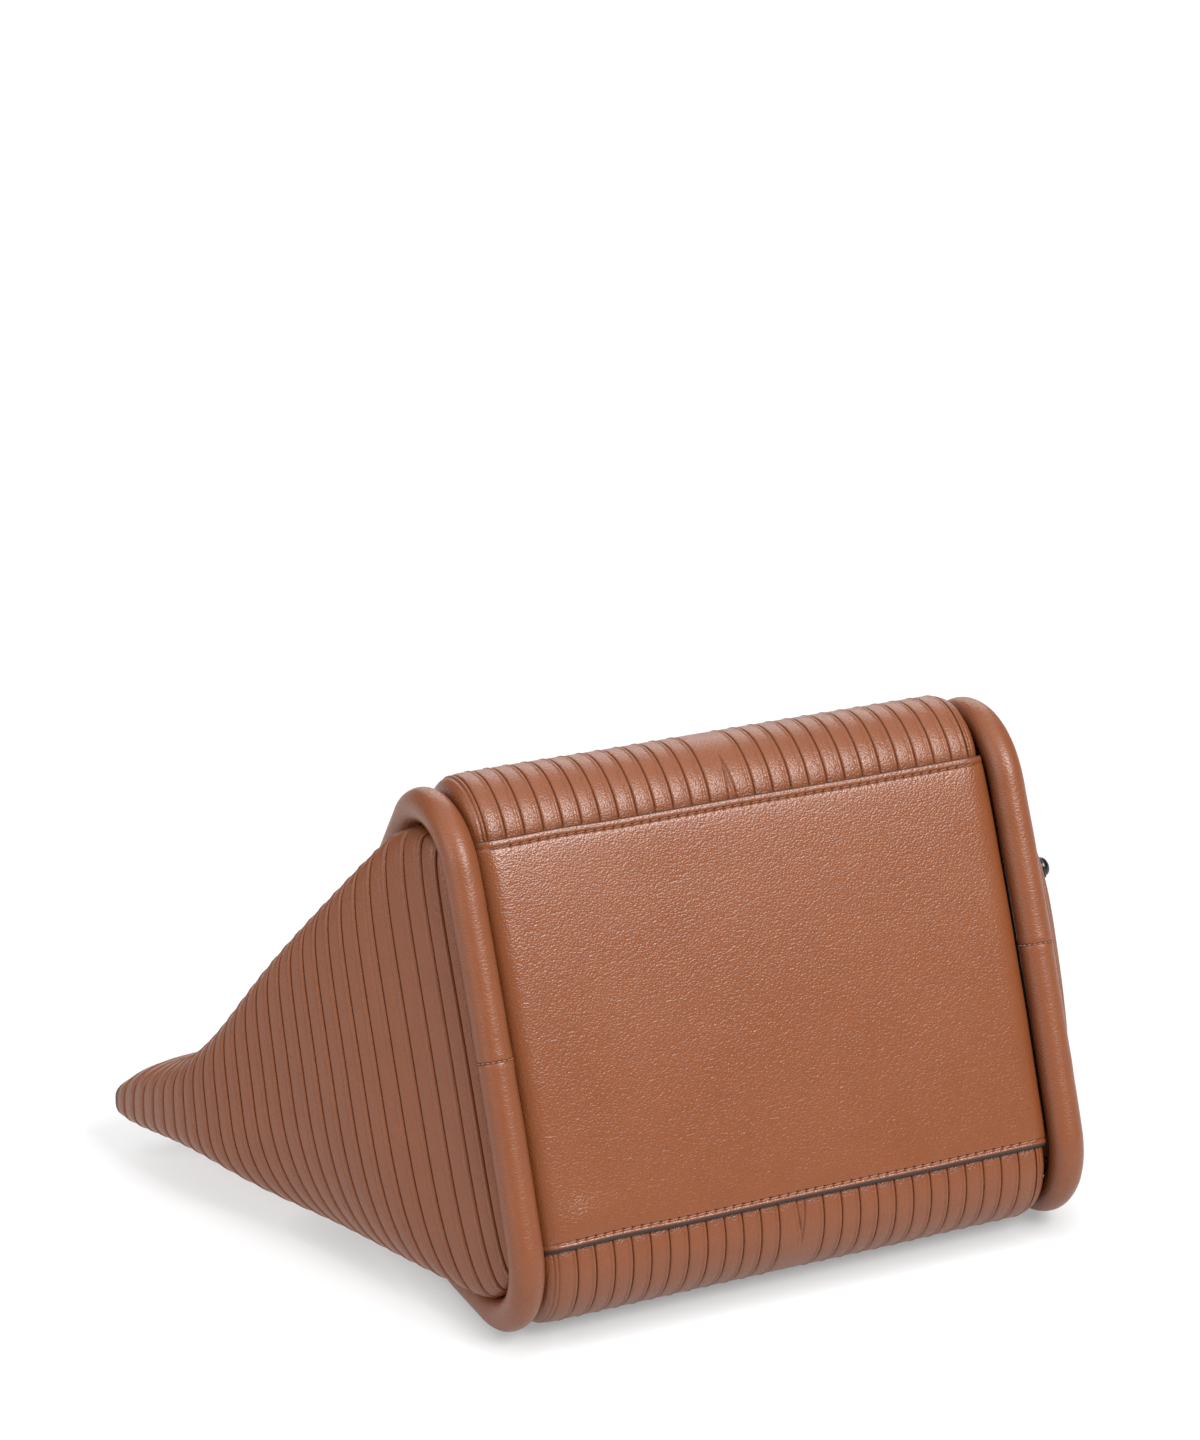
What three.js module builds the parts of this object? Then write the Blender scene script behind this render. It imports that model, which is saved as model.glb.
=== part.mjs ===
// Ribbed leather handbag, lying on its front panel with its mouth drawn flat.
// Millimetres, +Z up. X runs along the base, +Y from the base to the mouth.
// Lengths inside the bag are worked out in a side view, Y across and Z up, whose
// zero is the sharp corner where the base plane would meet the floor.
import * as THREE from "three";

// Whole bag
const PANEL_WIDTH = 224; // base and ribbed panels, between the two piping rolls
const BASE_LEAN = THREE.MathUtils.degToRad(24); // base plane, back from upright
const BASE_RUN = 253.5; // base plane, between its sharp corners with front and back
const BASE_SWELL = 5; // how far the stuffed base stands out in its middle
const SWELL_FLAT = 9; // depth over which the seams move out with the base
const SWELL_REACH = 60; // how much deeper into the bag that swelling is felt
const FLOOR_FLAT = 12; // height below which the swelling fades, so the front lies flat
const SIDE_SAG = 0.0001; // share of its height lost for each millimetre towards the right
const MOUTH_Y = 240; // plane of the open mouth
const MOUTH_HEIGHT = 56; // back panel above the floor at the mouth
const BEND_Y = 217; // where the back panel's slope would meet its level end

// Rounding of the side outline
const FRONT_CORNER_RADIUS = 28;
const BACK_CORNER_RADIUS = 24.5;
const BEND_RADIUS = 40;

// Leather
const PANEL_THICKNESS = 2.4;
const SEAM_GAP = 0.4; // between a panel's edge and the piping beside it
const EDGE_DIP = 4; // how far a panel is drawn in at its seam
const EDGE_RUN = 7; // width over which it is drawn in
const EDGE_FACET = 2.3; // width of the steep outer facet of that run

// Ribs: a flat band, a narrow lip and a groove
const RIB_PITCH = 8;
const RIB_LINES_PER_SIDE = 13;
const CENTRE_BAND_HALF = 9.8; // half of the wide middle band, with no rib line
const GROOVE_DEPTH = 1.2;
const LIP_WIDTH = 0.9; // steep side of a groove
const EASE_WIDTH = 2.4; // gentle side of a groove

// Smooth base panel
const BASE_PANEL_DEPTH = 161;
const BASE_PANEL_THICKNESS = 2;
const BASE_PANEL_GAP = 0.5;
const BASE_PANEL_LAP = 9; // ribbed leather under each long edge
const LAP_FLAT = 2; // ribbed leather that lies flat beside that edge
const BASE_ROWS = 4; // facets from the lower to the upper edge

// Piping
const PIPING_RADIUS = 7.1;
const PIPING_SIDES = 10;
const PIPING_STEPS = 48;
const PIPING_CORNER_RADIUS = 27; // centre line
const PIPING_PROUD = 0.8; // centre line outside the base plane

// Gussets
const GUSSET_GAP = 0.9; // between a gusset's edge and the piping
const GUSSET_RIB_LINES = 27;
const GUSSET_BANDS = 28.4; // rib widths from mouth to base seam
const GUSSET_HEIGHT = GUSSET_BANDS * RIB_PITCH;
const GUSSET_COLUMNS = 10; // facets across, from front seam to back seam
// Sections at equal steps from the base seam to the mouth: how far the gusset stands
// out, how far its lower side sags, how high its fold lies between the two seams, and
// the powers that round its lower and its upper side (1 an ellipse, less a squarer shoulder)
const GUSSET_SECTIONS = [
  { bulge: 3, droop: 0, fold: 0.5, lower: 0.55, upper: 0.44 },
  { bulge: 31.6, droop: 8.1, fold: 0.475, lower: 0.69, upper: 0.3 },
  { bulge: 54.8, droop: 21.5, fold: 0.565, lower: 0.825, upper: 0.3 },
  { bulge: 74.9, droop: 0.4, fold: 0.425, lower: 0.575, upper: 0.475 },
  { bulge: 85, droop: 8.8, fold: 0.42, lower: 0.71, upper: 0.52 },
];
const RIGHT_FULLNESS = 10; // how much more the right gusset stands out, halfway to the mouth
const RIGHT_ROUNDING = 0.4; // added to the power of the right gusset's upper side
// Near the mouth a gusset's upper side rises in a soft ridge and then falls in. The places
// are shares of its height, counted from the mouth.
const RIDGE_RISE = 8.4;
const RIDGE_AT = 0.14;
const RIDGE_SPREAD = 0.14;
const FALL_DEPTH = 8.9;
const FALL_RUN = 0.08;

// Domed metal stud on the right gusset
const STUD_RADIUS = 5;
const STUD_RIM = 1;
const STUD_HEIGHT = 4;
const STUD_GAP = 0.3;
const STUD_SIDES = 12;
const STUD_DOME_STEPS = 3;
const STUD_FROM_MOUTH = 124.8; // middle of a rib band
const STUD_ANGLE = THREE.MathUtils.degToRad(22); // round the gusset, up from its middle

// Fineness
const ARC_STEPS = 5;
const STATION_MARGIN = 1; // no row of points nearer than this to an end
const SLOPE_STEP = 0.002; // share and angle step when a slope is measured

const LEATHER = { color: 0xa15a33, roughness: 0.55, metalness: 0 };
const GUNMETAL = { color: 0x2d2b2b, roughness: 0.35, metalness: 1 };

// Direction up the base plane and direction out of it, in the side view
const baseUp = new THREE.Vector2(Math.sin(BASE_LEAN), Math.cos(BASE_LEAN));
const baseOut = new THREE.Vector2(-Math.cos(BASE_LEAN), Math.sin(BASE_LEAN));

const SHARP_CORNERS = [
  new THREE.Vector2(MOUTH_Y, 0),
  new THREE.Vector2(0, 0),
  baseUp.clone().multiplyScalar(BASE_RUN),
  new THREE.Vector2(BEND_Y, MOUTH_HEIGHT),
  new THREE.Vector2(MOUTH_Y, MOUTH_HEIGHT),
];

// Moves a place in the side view outward with the swelling of the base
function swollen(place) {
  const share = THREE.MathUtils.clamp(place.dot(baseUp) / BASE_RUN, 0, 1);
  const depth = Math.max(-place.dot(baseOut) - SWELL_FLAT, 0);
  const nearness = Math.max(1 - depth / SWELL_REACH, 0);
  const aboveFloor = THREE.MathUtils.clamp(place.y / FLOOR_FLAT, 0, 1);
  const amount = BASE_SWELL * 4 * share * (1 - share) * nearness ** 2 * aboveFloor;
  return place.clone().addScaledVector(baseOut, amount);
}

function inward(direction) {
  return new THREE.Vector2(direction.y, -direction.x);
}

function crossing(pointA, directionA, pointB, directionB) {
  const between = pointB.clone().sub(pointA);
  const along = between.cross(directionB) / directionA.cross(directionB);
  return pointA.clone().addScaledVector(directionA, along);
}

// The side outline, moved inward by one amount for each side: front, base, back, level end
function insetCorners(insets) {
  const sides = insets.map((inset, i) => {
    const direction = SHARP_CORNERS[i + 1].clone().sub(SHARP_CORNERS[i]).normalize();
    const shift = inward(direction).multiplyScalar(inset);
    return {
      direction,
      start: SHARP_CORNERS[i].clone().add(shift),
      end: SHARP_CORNERS[i + 1].clone().add(shift),
    };
  });
  const corners = [sides[0].start];
  for (let i = 1; i < sides.length; i += 1) {
    const before = sides[i - 1];
    const after = sides[i];
    corners.push(crossing(before.start, before.direction, after.start, after.direction));
  }
  corners.push(sides[sides.length - 1].end);
  return corners;
}

// Straight runs joined by arcs: line, arc, line, arc, line, arc, line
function roundedPath(corners, radii) {
  const path = new THREE.CurvePath();
  let from = corners[0];
  radii.forEach((radius, i) => {
    const corner = corners[i + 1];
    const arriving = corner.clone().sub(corners[i]).normalize();
    const leaving = corners[i + 2].clone().sub(corner).normalize();
    const turn = Math.acos(arriving.dot(leaving));
    const reach = radius * Math.tan(turn / 2);
    const clockwise = arriving.cross(leaving) < 0;
    const arcStart = corner.clone().addScaledVector(arriving, -reach);
    const arcEnd = corner.clone().addScaledVector(leaving, reach);
    const toCentre = inward(arriving).multiplyScalar(clockwise ? radius : -radius);
    const centre = arcStart.clone().add(toCentre);
    const startAngle = arcStart.clone().sub(centre).angle();
    const endAngle = arcEnd.clone().sub(centre).angle();
    path.add(new THREE.LineCurve(from, arcStart));
    path.add(
      new THREE.EllipseCurve(centre.x, centre.y, radius, radius, startAngle, endAngle, clockwise),
    );
    from = arcEnd;
  });
  path.add(new THREE.LineCurve(from, corners[corners.length - 1]));
  return path;
}

// Pieces of a path, counted from the front's mouth edge to the end of each part
const PIECES = { frontCorner: 2, base: 3, all: 7 };

// Distance along a path to the end of its first few pieces
function lengthOf(path, pieces) {
  return path.curves.slice(0, pieces).reduce((sum, curve) => sum + curve.getLength(), 0);
}

function pathPoint(path, distance) {
  const total = lengthOf(path, PIECES.all);
  return path.getPoint(THREE.MathUtils.clamp(distance / total, 0, 1));
}

function pathOutward(path, distance) {
  const total = lengthOf(path, PIECES.all);
  const direction = path.getTangent(THREE.MathUtils.clamp(distance / total, 0, 1));
  return inward(direction).negate();
}

// Distances at which a surface along the path needs a row of points
function pathStations(path, first, last) {
  const stations = [first];
  let distance = 0;
  for (const curve of path.curves) {
    const steps = curve.isEllipseCurve ? ARC_STEPS : 1;
    const length = curve.getLength();
    for (let i = 1; i <= steps; i += 1) {
      const station = distance + (length * i) / steps;
      const clear = station > first + STATION_MARGIN && station < last - STATION_MARGIN;
      if (clear) stations.push(station);
    }
    distance += length;
  }
  stations.push(last);
  return stations;
}

const outline = roundedPath(insetCorners([0, 0, 0, 0]), [
  FRONT_CORNER_RADIUS,
  BACK_CORNER_RADIUS,
  BEND_RADIUS,
]);

// The piping rolls lie level with the ribbed panels and stand proud of the base
const pipingPath = roundedPath(
  insetCorners([PIPING_RADIUS, -PIPING_PROUD, PIPING_RADIUS, PIPING_RADIUS]),
  [PIPING_CORNER_RADIUS, PIPING_CORNER_RADIUS, BEND_RADIUS + PIPING_RADIUS],
);
const pipingX = PANEL_WIDTH / 2 + SEAM_GAP + PIPING_RADIUS;

// A gusset is sewn in along the inner side of its piping
const seamInset = PIPING_RADIUS + GUSSET_GAP;
const seamPath = roundedPath(
  insetCorners([
    PIPING_RADIUS + seamInset,
    seamInset - PIPING_PROUD,
    PIPING_RADIUS + seamInset,
    PIPING_RADIUS + seamInset,
  ]),
  [
    PIPING_CORNER_RADIUS - seamInset,
    PIPING_CORNER_RADIUS - seamInset,
    BEND_RADIUS + PIPING_RADIUS + seamInset,
  ],
);

// A place of the side view, at one distance along the base, in the bag as it has settled
function sidePlace(x, place) {
  const moved = swollen(place);
  return new THREE.Vector3(x, moved.x, moved.y * (1 - SIDE_SAG * x));
}

// Places across a ribbed wall, each with its depth below the outer face. The inner
// face is smooth, so it only needs the places marked inside.
function ribStations(first, lines, last) {
  const stations = [{ at: first, depth: 0, inside: true }];
  for (const line of lines) {
    stations.push({ at: line - LIP_WIDTH, depth: 0, inside: false });
    stations.push({ at: line, depth: GROOVE_DEPTH, inside: true });
    stations.push({ at: line + EASE_WIDTH, depth: 0, inside: false });
  }
  stations.push({ at: last, depth: 0, inside: true });
  return stations;
}

// A closed wall from a grid of outer points and a coarser grid of inner points.
// anchors gives, for each inner row, the outer row that it lies behind.
function wallGeometry(outer, inner, anchors, mirrored) {
  const columns = outer[0].length;
  const innerStart = outer.length * columns;
  const positions = [...outer.flat(), ...inner.flat()].flatMap((point) => point.toArray());
  const outerAt = (row, column) => row * columns + column;
  const innerAt = (row, column) => innerStart + row * columns + column;
  const triangles = [];
  for (let row = 0; row + 1 < outer.length; row += 1) {
    for (let column = 0; column + 1 < columns; column += 1) {
      const corner = outerAt(row, column);
      const across = outerAt(row + 1, column);
      triangles.push([corner, across, corner + 1]);
      triangles.push([across, across + 1, corner + 1]);
    }
  }
  for (let row = 0; row + 1 < inner.length; row += 1) {
    for (let column = 0; column + 1 < columns; column += 1) {
      const corner = innerAt(row, column);
      const across = innerAt(row + 1, column);
      triangles.push([corner, corner + 1, across]);
      triangles.push([across, corner + 1, across + 1]);
    }
  }
  const lastOuter = outer.length - 1;
  const lastInner = inner.length - 1;
  for (let column = 0; column + 1 < columns; column += 1) {
    triangles.push([outerAt(0, column), outerAt(0, column + 1), innerAt(0, column)]);
    triangles.push([outerAt(0, column + 1), innerAt(0, column + 1), innerAt(0, column)]);
    const outerEnd = outerAt(lastOuter, column);
    const innerEnd = innerAt(lastInner, column);
    triangles.push([outerEnd + 1, outerEnd, innerEnd]);
    triangles.push([outerEnd + 1, innerEnd, innerEnd + 1]);
  }
  const lastColumn = columns - 1;
  for (let row = 0; row < lastInner; row += 1) {
    for (let step = anchors[row]; step < anchors[row + 1]; step += 1) {
      triangles.push([outerAt(step + 1, 0), outerAt(step, 0), innerAt(row, 0)]);
      triangles.push([
        outerAt(step, lastColumn),
        outerAt(step + 1, lastColumn),
        innerAt(row, lastColumn),
      ]);
    }
    const anchor = anchors[row + 1];
    triangles.push([outerAt(anchor, 0), innerAt(row, 0), innerAt(row + 1, 0)]);
    triangles.push([
      outerAt(anchor, lastColumn),
      innerAt(row + 1, lastColumn),
      innerAt(row, lastColumn),
    ]);
  }
  const index = triangles.flatMap((corners) => (mirrored ? corners.reverse() : corners));
  const geometry = new THREE.BufferGeometry();
  geometry.setAttribute("position", new THREE.Float32BufferAttribute(positions, 3));
  geometry.setIndex(index);
  geometry.computeVertexNormals();
  return geometry;
}

function wallFromStations(stations, pointAt, mirrored = false) {
  const outer = stations.map((station) => pointAt(station.at, station.depth));
  const insideStations = stations.filter((station) => station.inside);
  const inner = insideStations.map((station) => pointAt(station.at, PANEL_THICKNESS));
  const anchors = insideStations.map((station) => stations.indexOf(station));
  return wallGeometry(outer, inner, anchors, mirrored);
}

function edgeDip(x) {
  const into = (Math.abs(x) - (PANEL_WIDTH / 2 - EDGE_RUN)) / EDGE_RUN;
  const share = THREE.MathUtils.clamp(into, 0, 1);
  return EDGE_DIP * (1 - Math.sqrt(1 - share * share));
}

// Front and back: ribs up the bag, drawn in at the side seams
function panelStations() {
  const lines = [];
  for (let i = 0; i < RIB_LINES_PER_SIDE; i += 1) {
    const x = CENTRE_BAND_HALF + i * RIB_PITCH;
    lines.push(-x, x);
  }
  lines.sort((a, b) => a - b);
  const half = PANEL_WIDTH / 2;
  const turned = half - EDGE_FACET;
  const ribs = ribStations(-half, lines, half);
  const turn = (at) => ({ at, depth: 0, inside: true });
  return [ribs[0], turn(-turned), ...ribs.slice(1, -1), turn(turned), ribs[ribs.length - 1]];
}

function ribbedPanel(first, last) {
  const rows = pathStations(outline, first, last);
  const pointAt = (x, depth) =>
    rows.map((distance) => {
      const place = pathPoint(outline, distance);
      place.addScaledVector(pathOutward(outline, distance), -depth - edgeDip(x));
      return sidePlace(x, place);
    });
  return wallFromStations(panelStations(), pointAt);
}

// The base panel runs from one lapped edge to the other
const lapFront = lengthOf(outline, PIECES.frontCorner) + LAP_FLAT;
const lapBack = lapFront + BASE_PANEL_DEPTH;

function basePanel() {
  const half = PANEL_WIDTH / 2;
  const draws = [0, EDGE_FACET, EDGE_RUN - EDGE_FACET, EDGE_RUN];
  const rightColumns = draws.map((draw) => half - draw).reverse();
  const columns = [...draws.map((draw) => draw - half), ...rightColumns];
  const rows = [];
  for (let i = 0; i <= BASE_ROWS; i += 1) rows.push(lapFront + (BASE_PANEL_DEPTH * i) / BASE_ROWS);
  const rowAt = (x, lift) =>
    rows.map((distance) => {
      const place = pathPoint(outline, distance).addScaledVector(baseOut, lift - edgeDip(x));
      return sidePlace(x, place);
    });
  const outer = columns.map((x) => rowAt(x, BASE_PANEL_GAP + BASE_PANEL_THICKNESS));
  const inner = columns.map((x) => rowAt(x, BASE_PANEL_GAP));
  return wallGeometry(outer, inner, [...columns.keys()], false);
}

// Sections between the rows of the table, on a smooth curve
function sectionValue(column, share) {
  const points = GUSSET_SECTIONS.map((row, i) => new THREE.Vector2(i, row[column]));
  return new THREE.SplineCurve(points).getPoint(share).y;
}

// A point of a gusset's outer face: share runs from base seam to mouth, and angle from
// the front seam to the back seam. side is -1 on the left and 1 on the right.
function gussetPoint(side, share, angle) {
  const frontLength = lengthOf(seamPath, PIECES.frontCorner);
  const backStart = lengthOf(seamPath, PIECES.base);
  const backLength = lengthOf(seamPath, PIECES.all) - backStart;
  const front = pathPoint(seamPath, frontLength * (1 - share));
  const back = pathPoint(seamPath, backStart + backLength * share);
  const fromMouth = 1 - share;
  const rounding = side > 0 && angle > 0 ? RIGHT_ROUNDING : 0;
  const power = sectionValue(angle < 0 ? "lower" : "upper", share) + rounding;
  const across = Math.sign(Math.sin(angle)) * Math.abs(Math.sin(angle)) ** power;
  const out = Math.max(Math.cos(angle), 0) ** power;
  const foldShift = (sectionValue("fold", share) - 0.5) * (1 - across ** 2);
  const place = front.clone().lerp(back, (1 + across) / 2 + foldShift);
  const fuller = side > 0 ? RIGHT_FULLNESS * Math.sin(Math.PI * share) : 0;
  const x = side * (pipingX + (sectionValue("bulge", share) + fuller) * out);
  const ridge = RIDGE_RISE * Math.exp(-(((fromMouth - RIDGE_AT) / RIDGE_SPREAD) ** 2));
  const fall = FALL_DEPTH * Math.max(1 - fromMouth / FALL_RUN, 0) ** 2;
  place.y -= (sectionValue("droop", share) * out * (1 - across)) / 2;
  place.y += (ridge * out * (1 + across)) / 2;
  place.y -= fall * out * Math.max(across, 0);
  return sidePlace(x, place);
}

function gussetOutward(side, share, angle) {
  const step = SLOPE_STEP;
  const quarter = Math.PI / 2 - 2 * step;
  const low = THREE.MathUtils.clamp(share, step, 1 - step);
  const mid = THREE.MathUtils.clamp(angle, -quarter, quarter);
  const up = gussetPoint(side, low + step, mid).sub(gussetPoint(side, low - step, mid));
  const round = gussetPoint(side, low, mid + step).sub(gussetPoint(side, low, mid - step));
  return up.cross(round).multiplyScalar(side).normalize();
}

// Ribs run round each gusset, counted from the mouth
function gussetStations() {
  const lines = [];
  for (let i = 1; i <= GUSSET_RIB_LINES; i += 1) lines.push(i * RIB_PITCH);
  return ribStations(0, lines, GUSSET_HEIGHT);
}

function gusset(side) {
  const angles = [];
  for (let i = 0; i <= GUSSET_COLUMNS; i += 1) {
    angles.push(-Math.PI / 2 + (Math.PI * i) / GUSSET_COLUMNS);
  }
  const pointAt = (fromMouth, depth) => {
    const share = 1 - fromMouth / GUSSET_HEIGHT;
    return angles.map((angle) =>
      gussetPoint(side, share, angle).addScaledVector(gussetOutward(side, share, angle), -depth),
    );
  };
  return wallFromStations(gussetStations(), pointAt, side > 0);
}

// The piping's centre line, at one side of the bag
class PipingCurve extends THREE.Curve {
  constructor(x) {
    super();
    this.x = x;
  }

  getPoint(share, target = new THREE.Vector3()) {
    return target.copy(sidePlace(this.x, pipingPath.getPoint(share)));
  }
}

function piping(side) {
  const section = new THREE.Shape();
  for (let i = 0; i < PIPING_SIDES; i += 1) {
    const angle = (2 * Math.PI * (i + 0.5)) / PIPING_SIDES;
    const x = PIPING_RADIUS * Math.cos(angle);
    const y = PIPING_RADIUS * Math.sin(angle);
    if (i === 0) section.moveTo(x, y);
    else section.lineTo(x, y);
  }
  return new THREE.ExtrudeGeometry(section, {
    steps: PIPING_STEPS,
    extrudePath: new PipingCurve(side * pipingX),
  });
}

// A dome on a short rim, standing square to the gusset
function sideStud() {
  const profile = [new THREE.Vector2(0, 0), new THREE.Vector2(STUD_RADIUS, 0)];
  for (let i = 0; i < STUD_DOME_STEPS; i += 1) {
    const angle = (Math.PI / 2) * (i / STUD_DOME_STEPS);
    const rise = (STUD_HEIGHT - STUD_RIM) * Math.sin(angle);
    profile.push(new THREE.Vector2(STUD_RADIUS * Math.cos(angle), STUD_RIM + rise));
  }
  profile.push(new THREE.Vector2(0, STUD_HEIGHT));
  const share = 1 - STUD_FROM_MOUTH / GUSSET_HEIGHT;
  const outward = gussetOutward(1, share, STUD_ANGLE);
  const seat = gussetPoint(1, share, STUD_ANGLE).addScaledVector(outward, STUD_GAP);
  const turn = new THREE.Quaternion().setFromUnitVectors(new THREE.Vector3(0, 1, 0), outward);
  const geometry = new THREE.LatheGeometry(profile, STUD_SIDES);
  return geometry.applyQuaternion(turn).translate(seat.x, seat.y, seat.z);
}

function namedMesh(name, geometry, finish) {
  const mesh = new THREE.Mesh(geometry, new THREE.MeshStandardMaterial(finish));
  mesh.name = name;
  return mesh;
}

const mouthEnd = lengthOf(outline, PIECES.all);
const bag = new THREE.Group();
bag.add(namedMesh("base_panel", basePanel(), LEATHER));
bag.add(namedMesh("front_panel", ribbedPanel(0, lapFront + BASE_PANEL_LAP), LEATHER));
bag.add(namedMesh("back_panel", ribbedPanel(lapBack - BASE_PANEL_LAP, mouthEnd), LEATHER));
bag.add(namedMesh("gusset_left", gusset(-1), LEATHER));
bag.add(namedMesh("gusset_right", gusset(1), LEATHER));
bag.add(namedMesh("piping_left", piping(-1), LEATHER));
bag.add(namedMesh("piping_right", piping(1), LEATHER));
bag.add(namedMesh("side_stud", sideStud(), GUNMETAL));

// Origin under the middle of the bag, on the floor
const box = new THREE.Box3().setFromObject(bag);
bag.position.set(0, -(box.min.y + box.max.y) / 2, -box.min.z);

const handbag = new THREE.Group();
handbag.add(bag);

export default handbag;
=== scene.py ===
import math

import bpy
import numpy as np
from mathutils import Matrix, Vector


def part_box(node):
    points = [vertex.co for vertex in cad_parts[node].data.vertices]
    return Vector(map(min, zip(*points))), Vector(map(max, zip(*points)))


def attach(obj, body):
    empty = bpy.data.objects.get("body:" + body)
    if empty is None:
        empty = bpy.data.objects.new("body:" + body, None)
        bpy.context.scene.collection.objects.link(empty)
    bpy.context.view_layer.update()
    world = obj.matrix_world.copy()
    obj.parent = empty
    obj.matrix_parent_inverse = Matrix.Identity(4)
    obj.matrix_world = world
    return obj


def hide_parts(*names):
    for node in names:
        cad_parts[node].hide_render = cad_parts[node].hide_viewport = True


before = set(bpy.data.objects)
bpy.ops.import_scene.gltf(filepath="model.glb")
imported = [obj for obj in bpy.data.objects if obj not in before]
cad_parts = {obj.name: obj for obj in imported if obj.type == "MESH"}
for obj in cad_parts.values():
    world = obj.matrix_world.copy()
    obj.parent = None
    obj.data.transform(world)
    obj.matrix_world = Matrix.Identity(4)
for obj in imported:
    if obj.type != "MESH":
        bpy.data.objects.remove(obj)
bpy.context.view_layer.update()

MM = 0.001

# Whole bag, in millimetres, as in the part's source
PANEL_WIDTH = 224
BASE_LEAN = math.radians(24)
BASE_RUN = 253.5
BASE_SWELL = 5
SWELL_REACH = 60
FLOOR_FLAT = 12
SWELL_FLAT = 9
SIDE_SAG = 0.0001
MOUTH_Y = 240
MOUTH_HEIGHT = 56
BEND_Y = 217
FRONT_CORNER_RADIUS = 28
BACK_CORNER_RADIUS = 24.5
BEND_RADIUS = 40
PANEL_THICKNESS = 2.4
SEAM_GAP = 0.4

# Ribs
RIB_PITCH = 8
RIB_LINES_PER_SIDE = 13
CENTRE_BAND_HALF = 9.8
END_LINE_STEP = 1.9  # second line beside the outermost one at each end

# Base panel
BASE_PANEL_DEPTH = 161
BASE_PANEL_THICKNESS = 2
BASE_PANEL_GAP = 0.5
BASE_PANEL_LAP = 9
LAP_FLAT = 2

# Piping and gussets
PIPING_RADIUS = 7.1
PIPING_CORNER_RADIUS = 27
PIPING_PROUD = 0.8
GUSSET_GAP = 0.9
GUSSET_RIB_LINES = 27
GUSSET_HEIGHT = 28.4 * RIB_PITCH
# From the base seam to the mouth: how far a gusset stands out, how far it sags, where its fold lies
# between front and back, and the powers that shape its lower and upper sides
GUSSET_SECTIONS = [
    {"bulge": 3, "droop": 0, "fold": 0.5, "lower": 0.55, "upper": 0.44},
    {"bulge": 31.6, "droop": 8.1, "fold": 0.475, "lower": 0.69, "upper": 0.3},
    {"bulge": 54.8, "droop": 21.5, "fold": 0.565, "lower": 0.825, "upper": 0.3},
    {"bulge": 74.9, "droop": 0.4, "fold": 0.425, "lower": 0.575, "upper": 0.475},
    {"bulge": 85, "droop": 8.8, "fold": 0.42, "lower": 0.71, "upper": 0.52},
]
RIGHT_FULLNESS = 10  # how much further the right gusset stands out, halfway to the mouth
RIGHT_ROUNDING = 0.4  # added to the power of the right gusset's upper side
RIDGE_RISE = 8.4
RIDGE_AT = 0.14
RIDGE_SPREAD = 0.14
FALL_DEPTH = 8.9
FALL_RUN = 0.08

# Stud
STUD_RADIUS = 5
STUD_RIM = 1
STUD_HEIGHT = 4
STUD_GAP = 0.3
STUD_FROM_MOUTH = 124.8
STUD_ANGLE = math.radians(22)


# Paths in the side view


def unit(vector):
    return vector / np.linalg.norm(vector)


def inward(direction):
    return np.array([direction[1], -direction[0]])


def cross(a, b):
    return a[0] * b[1] - a[1] * b[0]


base_up = np.array([math.sin(BASE_LEAN), math.cos(BASE_LEAN)])
base_out = np.array([-math.cos(BASE_LEAN), math.sin(BASE_LEAN)])

SHARP_CORNERS = [
    np.array([MOUTH_Y, 0.0]),
    np.array([0.0, 0.0]),
    base_up * BASE_RUN,
    np.array([BEND_Y, MOUTH_HEIGHT], float),
    np.array([MOUTH_Y, MOUTH_HEIGHT], float),
]


def inset_corners(insets):
    """The sharp corners, with each straight run moved in by its inset."""
    starts = []
    directions = []
    for i, inset in enumerate(insets):
        direction = unit(SHARP_CORNERS[i + 1] - SHARP_CORNERS[i])
        starts.append(SHARP_CORNERS[i] + inward(direction) * inset)
        directions.append(direction)
    corners = [starts[0]]
    for i in range(1, len(insets)):
        between = starts[i] - starts[i - 1]
        along = cross(between, directions[i]) / cross(directions[i - 1], directions[i])
        corners.append(starts[i - 1] + directions[i - 1] * along)
    corners.append(SHARP_CORNERS[-1] + inward(directions[-1]) * insets[-1])
    return corners


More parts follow.
